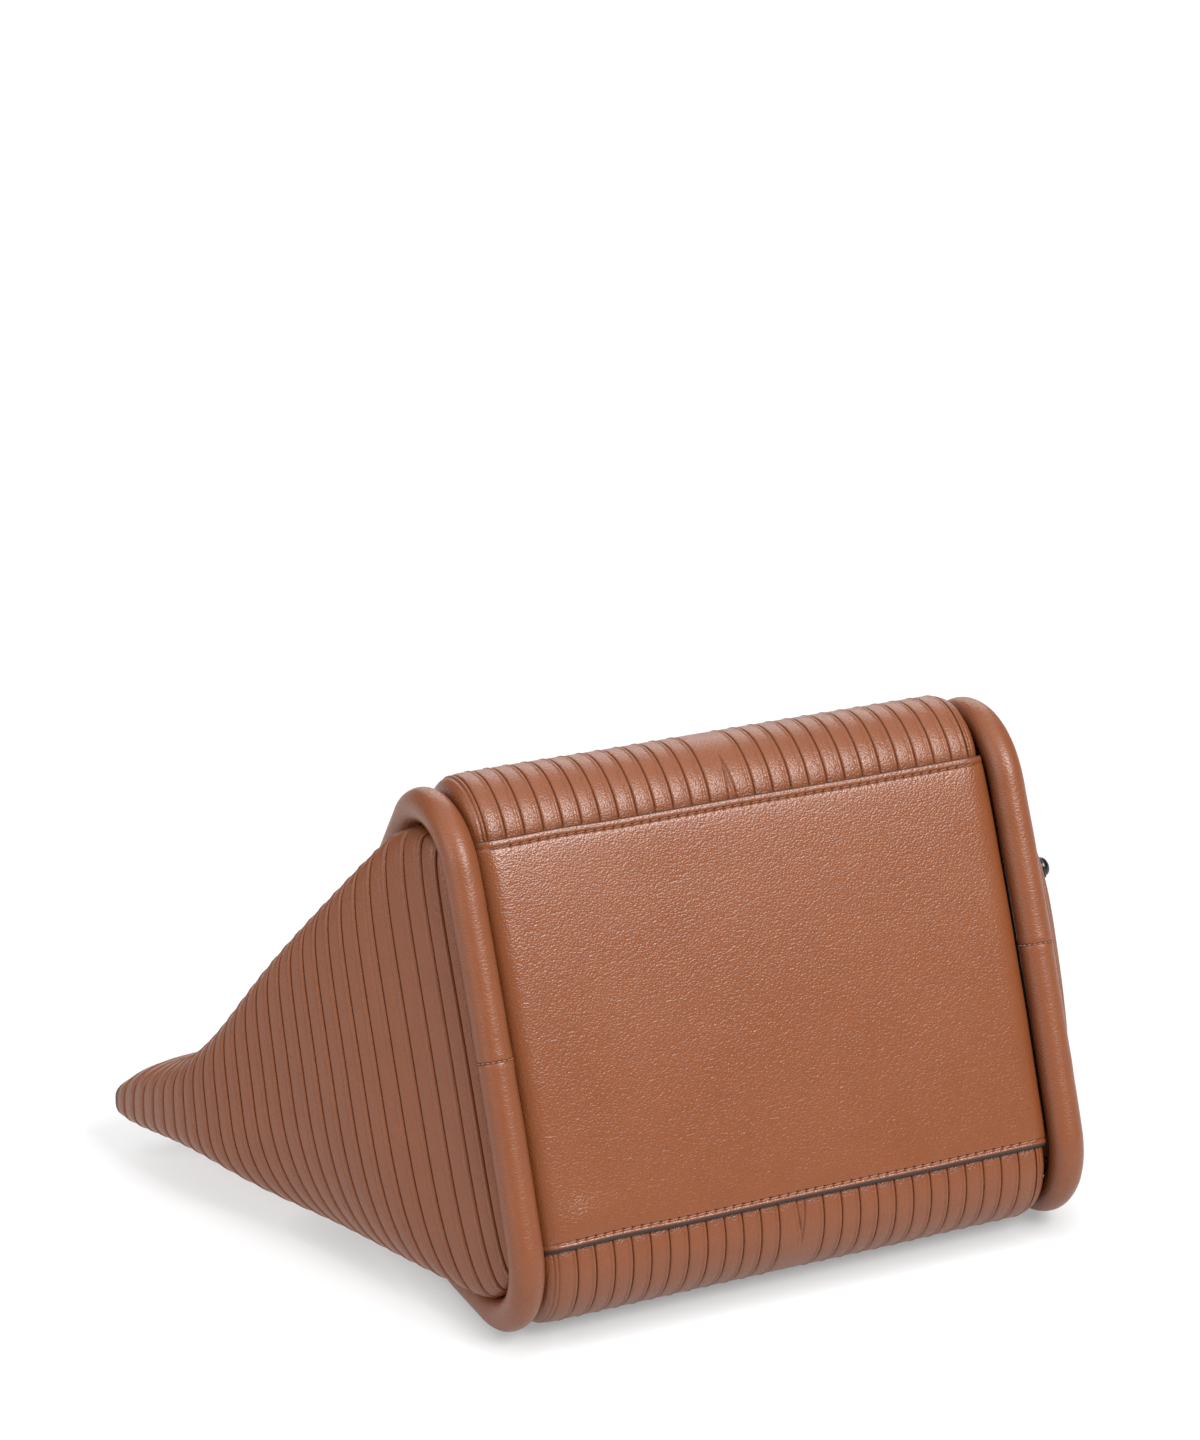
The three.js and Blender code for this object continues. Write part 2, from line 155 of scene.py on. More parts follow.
class SidePath:
    """Straight runs joined by arcs, measured by the distance along them."""

    TOLERANCE = 1e-9

    def __init__(self, corners, radii):
        self.pieces = []
        start = corners[0]
        for i, radius in enumerate(radii):
            corner = corners[i + 1]
            arriving = unit(corner - corners[i])
            leaving = unit(corners[i + 2] - corner)
            turn = math.acos(arriving @ leaving)
            reach = radius * math.tan(turn / 2)
            way = -1 if cross(arriving, leaving) < 0 else 1
            arc_start = corner - arriving * reach
            centre = arc_start - inward(arriving) * (radius * way)
            spoke = arc_start - centre
            first = math.atan2(spoke[1], spoke[0])
            self.add_line(start, arc_start)
            self.pieces.append(("arc", centre, radius, first, way, turn * radius))
            start = corner + leaving * reach
        self.add_line(start, corners[-1])
        self.ends = np.cumsum([piece[-1] for piece in self.pieces])
        self.total = self.ends[-1]

    def add_line(self, start, end):
        length = np.linalg.norm(end - start)
        self.pieces.append(("line", start, unit(end - start), length))

    def at(self, distance):
        """Points, and the directions that point out of the bag there."""
        distance = np.clip(np.asarray(distance, float), 0, self.total)
        points = np.zeros(distance.shape + (2,))
        outward = np.zeros(distance.shape + (2,))
        begin = 0
        for piece, end in zip(self.pieces, self.ends):
            here = (distance >= begin - self.TOLERANCE) & (distance <= end + self.TOLERANCE)
            gone = distance[here] - begin
            if piece[0] == "line":
                points[here] = piece[1] + gone[:, None] * piece[2]
                outward[here] = -inward(piece[2])
            else:
                _, centre, radius, first, way, _ = piece
                angle = first + way * gone / radius
                spoke = np.stack([np.cos(angle), np.sin(angle)], -1)
                points[here] = centre + radius * spoke
                outward[here] = -way * spoke
            begin = end
        return points, outward


# The first pieces of each path, from the front panel's mouth edge
FRONT, FRONT_CORNER, BASE, BACK_CORNER, BACK = range(5)

outline = SidePath(inset_corners([0, 0, 0, 0]), [FRONT_CORNER_RADIUS, BACK_CORNER_RADIUS, BEND_RADIUS])
piping_path = SidePath(
    inset_corners([PIPING_RADIUS, -PIPING_PROUD, PIPING_RADIUS, PIPING_RADIUS]),
    [PIPING_CORNER_RADIUS, PIPING_CORNER_RADIUS, BEND_RADIUS + PIPING_RADIUS],
)
PIPING_X = PANEL_WIDTH / 2 + SEAM_GAP + PIPING_RADIUS
seam_inset = PIPING_RADIUS + GUSSET_GAP
panel_seam_inset = PIPING_RADIUS + seam_inset
seam_corner_radius = PIPING_CORNER_RADIUS - seam_inset
seam_path = SidePath(
    inset_corners([panel_seam_inset, seam_inset - PIPING_PROUD, panel_seam_inset, panel_seam_inset]),
    [seam_corner_radius, seam_corner_radius, BEND_RADIUS + panel_seam_inset],
)
lap_front = outline.ends[FRONT_CORNER] + LAP_FLAT
lap_back = lap_front + BASE_PANEL_DEPTH

# The row frame's zero, in the side view
y_shift = MOUTH_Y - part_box("front_panel")[1].y / MM


def settled(x, places):
    """Side-view places at x, in the row frame and in metres, in the bag as it has settled."""
    x = np.broadcast_to(x, places.shape[:-1])
    share = np.clip((places @ base_up) / BASE_RUN, 0, 1)
    depth = np.maximum(-(places @ base_out) - SWELL_FLAT, 0)
    nearness = np.maximum(1 - depth / SWELL_REACH, 0)
    above_floor = np.clip(places[..., 1] / FLOOR_FLAT, 0, 1)
    amount = BASE_SWELL * 4 * share * (1 - share) * nearness**2 * above_floor
    moved = places + amount[..., None] * base_out
    height = moved[..., 1] * (1 - SIDE_SAG * x)
    return np.stack([x, moved[..., 0] - y_shift, height], -1) * MM


# Relief of ribbed leather

GROOVE_DEPTH = 0.75
GROOVE_HALF = 0.26
GROOVE_POWER = 1.3
BEAD_AT = 1.15
BEAD_HALF = 0.5
BEAD_HEIGHT = 0.3
VALLEY_AT = 2.1
VALLEY_HALF = 0.36
VALLEY_DEPTH = 0.14
VALLEY_SHADE = 0.12
SHOULDER_DEPTH = 0.16
SHOULDER_RUN = 0.8
PAD_CROWN = 0.07
PAD_POWER = 0.6
# Half width of the painted shade along each rib line
GROOVE_SHADE_HALF = 0.21
# Columns of the mesh beside a rib line, between two lines, and the closest that two may come
LINE_STEPS = [-2.6, -2.2, -1.85, -1.5, -1.15, -0.8, -0.5, -0.26, -0.12, 0, 0.12, 0.26, 0.5, 1.0, 1.8]
PAD_STEP = 1.6
CLOSEST = 0.04


def falloff(distance, half):
    return np.exp(-((distance / half) ** 2))


def rib_line(distance):
    """Height beside one rib line: a raised bead, a sharp groove, then the next pad's shoulder."""
    groove = GROOVE_DEPTH * np.exp(-((np.abs(distance) / GROOVE_HALF) ** GROOVE_POWER))
    bead = BEAD_HEIGHT * falloff(distance + BEAD_AT, BEAD_HALF)
    valley = VALLEY_DEPTH * falloff(distance + VALLEY_AT, VALLEY_HALF)
    past = np.maximum(distance, 0)
    shoulder = np.where(distance > 0, SHOULDER_DEPTH * np.exp(-past / SHOULDER_RUN), 0)
    return bead - groove - valley - shoulder


def rib_relief(across, lines, strengths):
    """Heights across a ribbed wall, and the painted shade of each place in and beside the grooves, from 0 to
    1.
    """
    height = np.zeros_like(across)
    painted_shade = np.zeros_like(across)
    for line, strength in zip(lines, strengths):
        height += strength * rib_line(across - line)
        # Painted shade in the valley beside each bead
        valley = VALLEY_SHADE * falloff(across - line + VALLEY_AT, VALLEY_HALF)
        painted_shade = np.maximum(painted_shade, strength * np.maximum(falloff(across - line, GROOVE_SHADE_HALF), valley))
    bounds = [across.min() - RIB_PITCH, *lines, across.max() + RIB_PITCH]
    for low, high in zip(bounds, bounds[1:]):
        here = (across >= low) & (across < high)
        share = (across[here] - low) / (high - low)
        height[here] += PAD_CROWN * (4 * share * (1 - share)) ** PAD_POWER
    return height - PAD_CROWN, painted_shade


def spaced(places):
    """The places in order, without those that come too close after another."""
    places = np.sort(places)
    return places[np.concatenate([[True], np.diff(places) > CLOSEST])]


def rib_columns(first, lines, last):
    """Places across a ribbed wall that follow its relief."""
    places = [first, last]
    for line in lines:
        places += [line + step for step in LINE_STEPS]
    bounds = [first, *lines, last]
    for low, high in zip(bounds, bounds[1:]):
        inner_low = low + LINE_STEPS[-1]
        inner_high = high + LINE_STEPS[0]
        if inner_high > inner_low:
            count = max(int((inner_high - inner_low) / PAD_STEP), 1)
            places += list(np.linspace(inner_low, inner_high, count + 2)[1:-1])
    places = spaced([place for place in places if first <= place <= last])
    places[-1] = last
    return places


def ripple(kind, u, v, seed):
    """A gentle, repeatable unevenness. kind holds its height and its lengths along u and v."""
    height, u_length, v_length = kind
    total = 0
    for i in range(1, 5):
        phase = seed * 1.7 + i * 2.3
        wave = u / u_length * (0.7 + 0.45 * i) + v / v_length * (1.1 - 0.31 * i)
        total = total + np.sin(wave + phase) / i
    return height * total / 2


# Meshes

SHARP_ANGLE = math.radians(70)


def new_mesh(name, points, quads, marks, polygons=()):
    """A smooth mesh from points, quads and further polygons, with named values at each point."""
    mesh = bpy.data.meshes.new(name)
    faces = [*map(tuple, np.asarray(quads).tolist()), *polygons]
    mesh.from_pydata(points.tolist(), [], faces)
    for mark, values in marks.items():
        attribute = mesh.attributes.new(mark, "FLOAT", "POINT")
        attribute.data.foreach_set("value", np.asarray(values, np.float32))
    mesh.validate()
    mesh.shade_smooth()
    mesh.set_sharp_from_angle(angle=SHARP_ANGLE)
    piece = bpy.data.objects.new(name, mesh)
    bpy.context.scene.collection.objects.link(piece)
    return piece


def grid_quads(rows, columns, start=0, flip=False, ring=False):
    """Quads between the points of a grid. A ring's last column joins its first."""
    row = np.arange(rows - 1)[:, None]
    column = np.arange(columns if ring else columns - 1)[None, :]
    after = (column + 1) % columns
    corner = start + row * columns + column
    quads = [corner, start + row * columns + after, corner + columns - column + after, corner + columns]
    stacked = np.stack([np.broadcast_to(quad, corner.shape) for quad in quads], -1).reshape(-1, 4)
    return stacked[:, ::-1] if flip else stacked


def wall(name, outer, inner, marks, flip=False):
    """A closed wall between two grids of points. marks holds pairs of outer and inner values."""
    rows, columns = outer.shape[:2]
    count = rows * columns
    quads = [grid_quads(rows, columns, 0, flip), grid_quads(rows, columns, count, not flip)]
    index = np.arange(count).reshape(rows, columns)
    borders = [(index[0], flip), (index[-1], not flip), (index[:, 0], not flip), (index[:, -1], flip)]
    for border, turned in borders:
        strip = np.stack([border[1:], border[:-1], border[:-1] + count, border[1:] + count], -1)
        quads.append(strip[:, ::-1] if turned else strip)
    points = np.concatenate([outer.reshape(-1, 3), inner.reshape(-1, 3)])
    values = {mark: np.concatenate([a.ravel(), b.ravel()]) for mark, (a, b) in marks.items()}
    return new_mesh(name, points, np.concatenate(quads), values)


# The walls between the pipings curve in towards them
EDGE_DIP = 6
EDGE_RUN = 11
EDGE_POWER = 2.6


def edge_dip(x):
    share = np.clip((np.abs(x) - (PANEL_WIDTH / 2 - EDGE_RUN)) / EDGE_RUN, 0, 1)
    return EDGE_DIP * (1 - np.sqrt(1 - share**EDGE_POWER))


# Ribbed front and back panels

DART_HALF = 1.85
DART_LENGTHS = {-1: 16.5, 1: 20.0}
DART_POWER = 1.2
DART_LEAN = 0.2
DART_FADE = 3
DART_STRENGTH = 0.75
END_LINE_STRENGTH = 0.3
FRONT_LEFT_STRENGTHS = [0.1, 0.45]  # the front panel's two leftmost lines are fainter
PANEL_UNEVEN = (0.12, 26, 19)
PANEL_WANDER = (0.22, 13, 11)
STRAIGHT_EDGE = 1  # this close to its sides a panel doesn't wander
PANEL_SEAT = 0.2
LAP_EASE = 3  # the relief eases off over this run at the base panel's edge
LAP_RELIEF = 0.35
LAP_PRESS = 0.5
DART_COLUMNS_HALF = 4.0
DART_COLUMN_STEP = 0.2


def dart_relief(x, from_edge):
    """Two short lines that start at the base panel's edge and meet, with painted shade along them."""
    height = np.zeros_like(x + from_edge)
    painted_shade = np.zeros_like(height)
    for side, length in DART_LENGTHS.items():
        share = np.clip(from_edge / length, 0, 1)
        line = side * DART_HALF * (1 - share**DART_POWER) - DART_LEAN * share
        strength = 1 - np.clip((from_edge - length + DART_FADE) / DART_FADE, 0, 1) ** 2
        height = height + DART_STRENGTH * strength * rib_line(x - line)
        painted_shade = np.maximum(painted_shade, strength * falloff(x - line, GROOVE_SHADE_HALF))
    return height, painted_shade


half_lines = [CENTRE_BAND_HALF + RIB_PITCH * i for i in range(RIB_LINES_PER_SIDE)]
half_lines.append(half_lines[-1] + END_LINE_STEP)
panel_lines = [-line for line in reversed(half_lines)] + half_lines
back_strengths = [END_LINE_STRENGTH, *[1] * (len(panel_lines) - 2), END_LINE_STRENGTH]
front_strengths = [*FRONT_LEFT_STRENGTHS, *back_strengths[len(FRONT_LEFT_STRENGTHS) :]]


def ribbed_panel(name, rows, lap_edge, way, strengths, seed):
    """A ribbed panel. way is 1 where its rows lead away from the base panel's edge, else -1."""
    half = PANEL_WIDTH / 2
    dart_columns = np.arange(-DART_COLUMNS_HALF, DART_COLUMNS_HALF + DART_COLUMN_STEP / 2, DART_COLUMN_STEP)
    columns = spaced(np.concatenate([rib_columns(-half, panel_lines, half), dart_columns]))
    relief, line_shade = rib_relief(columns, panel_lines, strengths)
    across = columns[None, :]
    along = rows[:, None]
    from_edge = (along - lap_edge) * way
    dart, dart_shade = dart_relief(across, from_edge)
    eased = np.clip((from_edge + LAP_EASE / 2) / LAP_EASE, 0, 1)
    height = (relief + dart) * (LAP_RELIEF + (1 - LAP_RELIEF) * eased)
    height = height + ripple(PANEL_UNEVEN, across, along, seed) - PANEL_SEAT - LAP_PRESS * (1 - eased)
    # Painted shade along the rib lines and the dart
    painted_shade = np.maximum(line_shade, dart_shade)
    points, outward = outline.at(rows)
    free = np.abs(across) < half - STRAIGHT_EDGE
    x = across + ripple(PANEL_WANDER, across, along, seed + 5) * free
    dip = edge_dip(x)

    def surface(lift):
        return settled(x, points[:, None, :] + outward[:, None, :] * (lift - dip)[..., None])

    outer = surface(height)
    inner = surface(np.full_like(height, -PANEL_THICKNESS))
    none = np.zeros_like(height)
    rim = none.copy()
    rim[0 if way < 0 else -1] = 1
    marks = {
        "groove": (painted_shade, none),
        "inside": (none, none + 1),
        "paint": (rim, rim),
    }
    return wall(name, outer, inner, marks, flip=True)


# Rows along the outline, by distance: fine at the mouth's rim and round the corners, coarse between
RIM_ROWS = np.array([0.0, 1.0, 2.0])
RIM_REACH = 3
CORNER_ROW_STEP = 1.6
CORNER_LEAD = 10
CORNER_TRAIL = 6
COARSE_GAP = 2
BEND_GAP = 3
FLAT_ROWS = 22
SLOPE_ROWS = 16
BEND_ROWS = 10
corner_start = outline.ends[FRONT] - CORNER_LEAD
corner_end = outline.ends[BACK_CORNER] + CORNER_TRAIL
front_rows = np.concatenate(
    [
        RIM_ROWS,
        np.linspace(RIM_REACH, corner_start - COARSE_GAP, FLAT_ROWS),
        np.arange(corner_start, lap_front + BASE_PANEL_LAP, CORNER_ROW_STEP),
    ]
)
back_rows = np.concatenate(
    [
        np.arange(lap_back - BASE_PANEL_LAP, corner_end, CORNER_ROW_STEP),
        np.linspace(corner_end + COARSE_GAP, outline.ends[BACK], SLOPE_ROWS),
        np.linspace(outline.ends[BACK] + BEND_GAP, outline.total - RIM_REACH, BEND_ROWS),
        outline.total - RIM_ROWS[::-1],
    ]
)
front_panel = ribbed_panel("front_panel_leather", front_rows, lap_front, -1, front_strengths, 1)
back_panel = ribbed_panel("back_panel_leather", back_rows, lap_back, 1, back_strengths, 2)


# Smooth base panel

STITCH_PITCH = 4
STITCH_INSET = 3
STITCH_REACH = 104
LOWER_EDGE_ROUND = 1.5
UPPER_EDGE_ROUND = 0.8
UNDER_ROUND = 0.35
LOWER_PAINT_REACH = 1.45
UPPER_PAINT_REACH = 0.45
PAINT_BLEND = 0.2
PUFF_HEIGHT = 0.45
PUFF_RUN = 4
SEAM_DEPTH = 0.42
SEAM_HALF = 0.6
SEAM_LINE_HALF = 0.5
SEAM_LINE_SHADE = 0.7
ROLL_HEIGHT = 0.1
ROLL_AT = 1.7
ROLL_HALF = 0.7
HOLE_DEPTH = 0.7
HOLE_HALF_ALONG = 0.6
HOLE_HALF_ACROSS = 0.5
HOLE_OFFSET = 0.15
BASE_UNEVEN = (0.3, 38, 33)
UNEVEN_FROM = 5
UNEVEN_RUN = 20
END_UNEVEN = (0.16, 9, 5.5)
END_RUN = 22
EDGE_WANDER = (0.25, 15, 1)
WANDER_REACH = 14
# A small pucker in the lower left corner, at x and at t up from the lower edge
PUCKER_X = -94.0
PUCKER_T = 11.0
PUCKER_WIDE = 8.0
PUCKER_HIGH = 7.0
PUCKER_HEIGHT = 0.8
# Rows and columns of its mesh
STITCH_STEPS = np.array([-0.9, -0.6, -0.35, -0.15, 0, 0.15, 0.35, 0.6, 0.9])
NEAR_EDGE_ROWS = np.array([1.7, 1.9, *(STITCH_INSET + STITCH_STEPS), 4.5, 5.3, 6.4, 8, 10, 12.5])
FACE_FROM = 15.5
FACE_ROWS = 52
BACK_FROM = 12
BACK_ROWS = 14
BASE_COLUMN_STEP = 0.4

stitch_x = np.arange(-STITCH_REACH, STITCH_REACH + STITCH_PITCH / 2, STITCH_PITCH)
stitch_ends = np.append(stitch_x, stitch_x[-1] + STITCH_PITCH) - STITCH_PITCH / 2


def base_height(from_edge):
    """Height of the base panel's face above its seat, by the distance from the nearest long edge."""
    puff = PUFF_HEIGHT * (1 - np.exp(-np.maximum(from_edge - STITCH_INSET, 0) / PUFF_RUN))
    seam = SEAM_DEPTH * falloff(from_edge - STITCH_INSET, SEAM_HALF)
    roll = ROLL_HEIGHT * falloff(from_edge - ROLL_AT, ROLL_HALF)
    return BASE_PANEL_THICKNESS + puff - seam + roll


def base_wave(x):
    """How far the base panel's long edges wander from a straight line."""
    return ripple(EDGE_WANDER, x, 0, seed=3)


def stitch_hole(x, from_edge):
    """How far into a needle hole each place is, from 0 to 1."""
    to_hole = np.min(np.abs(np.asarray(x)[..., None] - stitch_ends), axis=-1)
    across = from_edge - STITCH_INSET - HOLE_OFFSET
    return falloff(to_hole, HOLE_HALF_ALONG) * falloff(across, HOLE_HALF_ACROSS)


def base_face(x, t):
    """Height of the base panel's face: x across, t up from the lower edge."""
    from_edge = np.minimum(t, BASE_PANEL_DEPTH - t)
    inner = np.clip((from_edge - UNEVEN_FROM) / UNEVEN_RUN, 0, 1)
    end = np.clip((np.abs(x) - (PANEL_WIDTH / 2 - END_RUN)) / END_RUN, 0, 1)
    height = base_height(from_edge) + inner * ripple(BASE_UNEVEN, x, t, seed=7)
    height = height + PUCKER_HEIGHT * falloff(x - PUCKER_X, PUCKER_WIDE) * falloff(t - PUCKER_T, PUCKER_HIGH)
    return height + end * inner * ripple(END_UNEVEN, x, t, seed=9)


def edge_profile(edge_round, paint_reach):
    """One long edge, from the face round to the back: inset from the edge, height, paint, inside."""
    turn = np.radians([78, 62, 46, 30, 15, 0])
    under = np.radians([0, 45, 90])
    inset = np.concatenate([edge_round * (1 - np.cos(turn)), UNDER_ROUND * (1 - np.cos(under))])
    face_height = BASE_PANEL_THICKNESS - edge_round * (1 - np.sin(turn))
    height = np.concatenate([face_height, UNDER_ROUND * (1 - np.sin(under))])
    paint = np.clip((paint_reach - inset) / PAINT_BLEND, 0, 1)
    inside = np.zeros(len(inset))
    inside[-1] = 1
    return np.stack([inset, height, paint, inside])


def base_panel_mesh():
    """Rings that run up the face, over the upper edge, down the back and round the lower edge."""
    half = PANEL_WIDTH / 2
    middle = np.linspace(FACE_FROM, BASE_PANEL_DEPTH - FACE_FROM, FACE_ROWS)
    face_t = np.concatenate([NEAR_EDGE_ROWS, middle, (BASE_PANEL_DEPTH - NEAR_EDGE_ROWS)[::-1]])
    upper = edge_profile(UPPER_EDGE_ROUND, UPPER_PAINT_REACH)
    lower = edge_profile(LOWER_EDGE_ROUND, LOWER_PAINT_REACH)[:, ::-1]
    back_t = np.linspace(BASE_PANEL_DEPTH - BACK_FROM, BACK_FROM, BACK_ROWS)
    ring_t = np.concatenate([face_t, BASE_PANEL_DEPTH - upper[0], back_t, lower[0]])
    on_face = np.arange(len(ring_t)) < len(face_t)
    no_face = np.zeros(len(face_t))
    no_back = np.zeros(len(back_t))
    ring_height = np.concatenate([no_face, upper[1], no_back, lower[1]])
    ring_paint = np.concatenate([no_face, upper[2], no_back, lower[2]])
    ring_inside = np.concatenate([no_face, upper[3], no_back + 1, lower[3]])
    from_end = EDGE_RUN * (1 - np.cos(np.radians(np.arange(0, 91, 10))))
    fine = np.arange(-half + EDGE_RUN + BASE_COLUMN_STEP, half - EDGE_RUN, BASE_COLUMN_STEP)
    columns = np.concatenate([from_end - half, fine, (half - from_end)[::-1]])
    x, t = np.meshgrid(columns, ring_t, indexing="ij")
    from_edge = np.minimum(t, BASE_PANEL_DEPTH - t)
    hole = stitch_hole(x, from_edge) * on_face
    line = falloff(from_edge - STITCH_INSET, SEAM_LINE_HALF) * on_face * (np.abs(x) < stitch_ends[-1])
    height = np.where(on_face, base_face(x, t) - HOLE_DEPTH * hole, ring_height)
    points, _ = outline.at(lap_front + t)
    slide = base_wave(x) * (from_edge < WANDER_REACH)
    lift = BASE_PANEL_GAP + height - edge_dip(x)
    places = points + base_out * lift[..., None] + base_up * slide[..., None]
    surface = settled(x, places)
    rows, ring = x.shape
    quads = grid_quads(rows, ring, ring=True, flip=True)
    caps = [tuple(range(ring)), tuple(range((rows - 1) * ring, rows * ring))[::-1]]
    marks = {
        # Painted shade in the needle holes and along the stitch line
        "groove": np.maximum(hole, SEAM_LINE_SHADE * line).ravel(),
        "paint": np.broadcast_to(ring_paint, x.shape).ravel(),
        "inside": np.broadcast_to(ring_inside, x.shape).ravel(),
    }
    return new_mesh("base_panel_leather", surface.reshape(-1, 3), quads, marks, caps)


base_panel = base_panel_mesh()


# Gussets

GUSSET_COLUMNS = 84
GUSSET_SAMPLES = 900
GUSSET_UNEVEN = (0.25, 31, 0.2)
# How far a gusset's edges run in behind its piping, along the base and along the panels
BASE_FLANGE = 6.0
PANEL_FLANGE = 9.0
FLANGE_STEP = 0.5  # the base flange also steps this far towards the base


def section(column, share):
    """A value between the rows of the gusset table, on a smooth curve."""
    values = np.array([row[column] for row in GUSSET_SECTIONS], float)
    last = len(values) - 1
    place = share * last
    step = np.minimum(np.floor(place).astype(int), last)
    weight = place - step
    before = values[np.maximum(step - 1, 0)]
    here = values[step]
    after = values[np.minimum(step + 1, last)]
    beyond = values[np.minimum(step + 2, last)]
    slope_here = (after - before) / 2
    slope_after = (beyond - here) / 2
    cubic = (2 * here - 2 * after + slope_here + slope_after) * weight**3
    square = (-3 * here + 3 * after - 2 * slope_here - slope_after) * weight**2
    return cubic + square + slope_here * weight + here


def gusset_point(side, share, angle):
    """Points of a gusset's outer face, in metres. share and angle are arrays of one shape."""
    front_length = seam_path.ends[FRONT_CORNER]
    back_start = seam_path.ends[BASE]
    back_length = seam_path.total - back_start
    front, _ = seam_path.at(front_length * (1 - share))
    back, _ = seam_path.at(back_start + back_length * share)
    from_mouth = 1 - share
    rounding = RIGHT_ROUNDING if side > 0 else 0
    power = np.where(angle < 0, section("lower", share), section("upper", share) + rounding)
    across = np.sign(np.sin(angle)) * np.abs(np.sin(angle)) ** power
    out = np.maximum(np.cos(angle), 0) ** power
    height = (1 + across) / 2 + (section("fold", share) - 0.5) * (1 - across**2)
    places = front + (back - front) * height[..., None]
    bulge = section("bulge", share)
    if side > 0:
        bulge = bulge + RIGHT_FULLNESS * np.sin(math.pi * share)
    x = side * (PIPING_X + bulge * out)
    places[..., 1] -= section("droop", share) * out * (1 - across) / 2
    ridge = RIDGE_RISE * falloff(from_mouth - RIDGE_AT, RIDGE_SPREAD)
    places[..., 1] += ridge * out * (1 + across) / 2
    fall = FALL_DEPTH * np.maximum(1 - from_mouth / FALL_RUN, 0) ** 2
    places[..., 1] -= fall * out * np.maximum(across, 0)
    return settled(x, places)


def gusset_face(side, shares):
    """Evenly spaced points across a gusset at each share, with the flanges round its seam."""
    angle = np.linspace(-math.pi / 2, math.pi / 2, GUSSET_SAMPLES)
    face = np.zeros((len(shares), GUSSET_COLUMNS, 3))
    for i, share in enumerate(shares):
        curve = gusset_point(side, np.full(angle.shape, share), angle)
        length = np.concatenate([[0], np.cumsum(np.linalg.norm(np.diff(curve, axis=0), axis=1))])
        even = np.linspace(0, length[-1], GUSSET_COLUMNS)
        for axis in range(3):
            face[i, :, axis] = np.interp(even, length, curve[:, axis])
    base_flange = face[-1:].copy()
    base_flange[..., 0] = side * (PIPING_X - BASE_FLANGE) * MM
    base_flange[..., 1:] += base_out * FLANGE_STEP * MM
    face = np.concatenate([face, base_flange])
    front_flange = face[:, :1].copy()
    back_flange = face[:, -1:].copy()
    for flange in (front_flange, back_flange):
        flange[..., 0] = side * (PIPING_X - PANEL_FLANGE) * MM
    return np.concatenate([front_flange, face, back_flange], axis=1)


gusset_lines = [RIB_PITCH * i for i in range(1, GUSSET_RIB_LINES + 1)]


def gusset_mesh(name, side, seed):
    from_mouth = rib_columns(0, gusset_lines, GUSSET_HEIGHT)
    relief, painted_shade = rib_relief(from_mouth, gusset_lines, [1] * len(gusset_lines))
    face = gusset_face(side, 1 - from_mouth / GUSSET_HEIGHT)
    from_mouth = np.append(from_mouth, GUSSET_HEIGHT + BASE_FLANGE)
    relief = np.append(relief, relief[-1])
    # The base flange, in the seam behind the piping, is fully in painted shade
    painted_shade = np.append(painted_shade, 1)
    normal = np.cross(np.gradient(face, axis=0), np.gradient(face, axis=1)) * -side
    normal /= np.linalg.norm(normal, axis=-1, keepdims=True)
    across = np.linspace(0, 1, face.shape[1])[None, :]
    height = relief[:, None] + ripple(GUSSET_UNEVEN, from_mouth[:, None], across, seed)
    outer = face + normal * height[..., None] * MM
    inner = face - normal * PANEL_THICKNESS * MM
    none = np.zeros(height.shape)
    rim = none.copy()
    rim[0] = 1
    marks = {
        "groove": (none + painted_shade[:, None], none),
        "inside": (none, none + 1),
        "paint": (rim, rim),
    }
    return wall(name, outer, inner, marks, flip=side < 0)


gusset_left = gusset_mesh("gusset_left_leather", -1, 3)
gusset_right = gusset_mesh("gusset_right_leather", 1, 4)


# Pipings

PIPING_SIDES = 36
PIPING_STEP = 2.0
PIPING_CAP = 3.0
CAP_TIP = 0.06
PIPING_UNEVEN = (0.16, 21, 1 / 1.4)
PIPING_CREASES = (0.06, 4.2, 1 / 2.5)
# Painted shade on the side of a piping that lies against the panels
SEAM_SHADE = 0.8
SEAM_TURN = math.radians(262)
SEAM_SPREAD = math.radians(42)
# Each piping is joined at the middle of the base, the right one a little higher
RIGHT_JOINT_UP = 5
JOINT_DEPTH = 0.5
JOINT_HALF = 0.4
JOINT_DARK_HALF = 0.35
JOINT_SWELL = 0.16
JOINT_SWELL_AT = 2.2
JOINT_SWELL_HALF = 1.3
JOINT_STEPS = np.array([0.15, 0.35, 0.6, 0.9, 1.3, 2, 3])
JOINT_CLEAR = 4

base_middle = (piping_path.ends[FRONT_CORNER] + piping_path.ends[BASE]) / 2
joint_places = {-1: base_middle, 1: base_middle + RIGHT_JOINT_UP}


def piping_rows(joint_at):
    """Distances along a piping: fine at its rounded ends and beside its joint."""
    ends = PIPING_CAP * (1 - np.cos(np.linspace(0, math.pi / 2, 6)))
    near_joint = joint_at + np.concatenate([-JOINT_STEPS, [0], JOINT_STEPS])
    even_end = piping_path.total - PIPING_CAP - PIPING_STEP / 2
    even = np.arange(PIPING_CAP + PIPING_STEP, even_end, PIPING_STEP)
    even = even[np.abs(even - joint_at) > JOINT_CLEAR]
    return np.sort(np.concatenate([ends, even, near_joint, piping_path.total - ends]))


